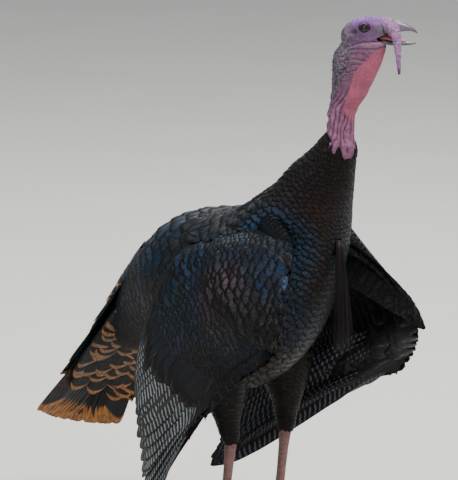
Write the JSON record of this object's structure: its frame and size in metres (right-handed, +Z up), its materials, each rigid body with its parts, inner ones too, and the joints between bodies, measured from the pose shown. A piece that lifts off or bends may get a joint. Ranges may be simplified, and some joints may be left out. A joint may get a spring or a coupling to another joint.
{
  "type": "wild turkey",
  "caption": "Life-size male wild turkey standing in a half strut, head turned left, bill open, snood over the bill, wings let down at its sides, tail lowered.",
  "frame": {"origin": "on the floor under the middle of the bird's bounding box", "axes": "+X forward along the bird's body, +Y to its left, +Z up"},
  "size_m": [0.689, 0.4374, 0.8733],
  "materials": {
    "beard_bristles": "coarse black bristles",
    "bill_horn": "smooth horn",
    "body_feathers": "dark bronze feathers with black edges",
    "claw_horn": "worn horn",
    "covert_feathers": "bronze and teal feathers with black bars",
    "eye": "wet dark brown",
    "flight_feathers": "blackish feathers barred with white",
    "head_skin": "bare warty skin, lavender to pink",
    "leg_scales": "plated scales",
    "mantle_feathers": "black feathers with a blue-green sheen",
    "neck_skin": "bare wrinkled pink skin",
    "tail_feathers": "brown feathers, black band, chestnut tips",
    "tongue": "moist",
    "wattle_skin": "soft folded skin"
  },
  "bodies": {
    "root": {"beard": "beard_bristles", "bill_lower": "bill_horn", "bill_upper": "bill_horn", "caruncles": "wattle_skin", "claw_hind_left": "claw_horn", "claw_hind_right": "claw_horn", "claw_inner_left": "claw_horn", "claw_inner_right": "claw_horn", "claw_middle_left": "claw_horn", "claw_middle_right": "claw_horn", "claw_outer_left": "claw_horn", "claw_outer_right": "claw_horn", "eye_left": "eye", "eye_right": "eye", "foot_left": "leg_scales", "foot_right": "leg_scales", "head": "head_skin", "neck_bare": "neck_skin", "neck_feathered": "body_feathers", "primaries_left": "flight_feathers", "primaries_right": "flight_feathers", "secondaries_left": "flight_feathers", "secondaries_right": "flight_feathers", "shank_left": "leg_scales", "shank_right": "leg_scales", "snood": "wattle_skin", "spur_left": "claw_horn", "spur_right": "claw_horn", "tail": "tail_feathers", "tail_coverts_under": "covert_feathers", "tail_coverts_upper": "mantle_feathers", "thigh_left": "body_feathers", "thigh_right": "body_feathers", "tongue": "tongue", "trunk": "body_feathers", "wing_left": "covert_feathers", "wing_right": "covert_feathers"}
  },
  "joints": []
}
